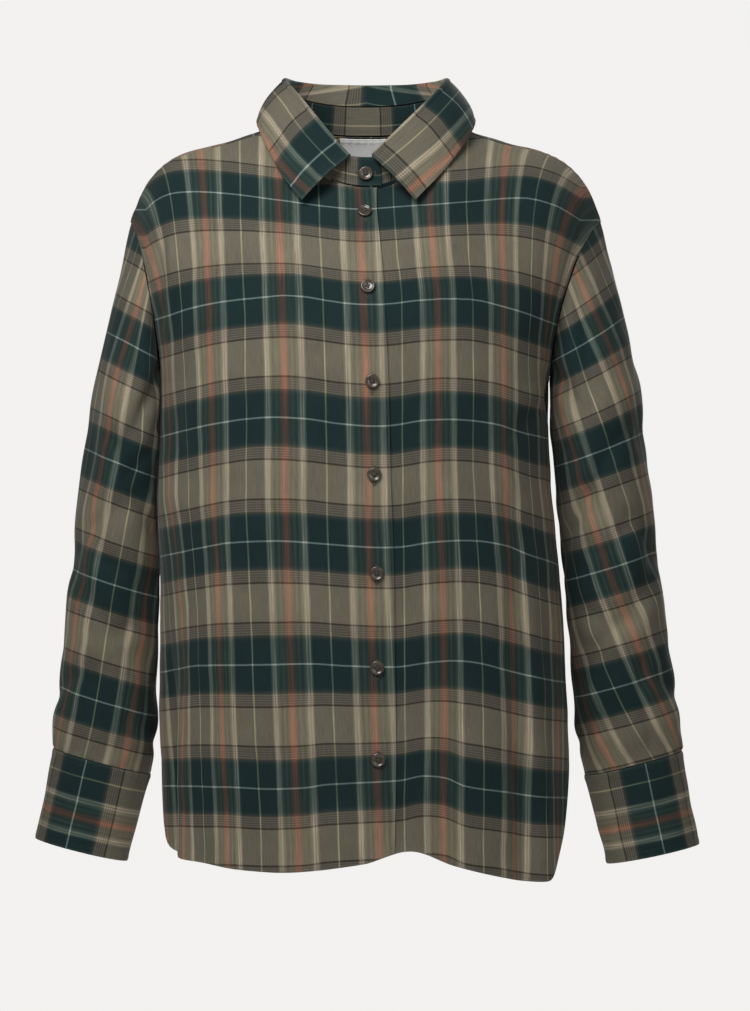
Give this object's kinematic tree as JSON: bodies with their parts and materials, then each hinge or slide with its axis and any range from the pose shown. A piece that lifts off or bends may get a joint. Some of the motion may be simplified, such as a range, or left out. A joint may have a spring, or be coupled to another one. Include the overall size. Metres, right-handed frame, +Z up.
{
  "type": "long-sleeved flannel shirt",
  "caption": "Loose long-sleeved plaid flannel shirt, worn shape with no wearer: pointed collar on a stand, buttoned front, back yoke, dropped shoulders, deep cuffs and a curved hem",
  "frame": {"origin": "the middle of the back neck seam, the nape, where the wearer holds the shirt up", "axes": "+Z up, +X to the viewer's right as the front is seen, -Y out of the front; metres"},
  "size_m": [0.6215, 0.2746, 0.7439],
  "materials": {
    "flannel": "brushed cotton flannel in a dark green, olive and brown check with rust, cream and pale lines",
    "label_tape": "plain white woven tape",
    "horn": "dark polished horn-like resin"
  },
  "bodies": {
    "root": {"front_over": "flannel", "front_under": "flannel", "back": "flannel", "yoke": "flannel", "collar_stand": "flannel", "collar_leaf": "flannel", "sleeve_left": "flannel", "sleeve_right": "flannel", "cuff_left": "flannel", "cuff_right": "flannel", "placket_left": "flannel", "placket_right": "flannel", "neck_label": "label_tape", "button_1": "horn", "button_2": "horn", "button_3": "horn", "button_4": "horn", "button_5": "horn", "button_6": "horn", "button_7": "horn", "button_8": "horn", "cuff_button_left": "horn", "cuff_button_right": "horn"}
  },
  "joints": []
}
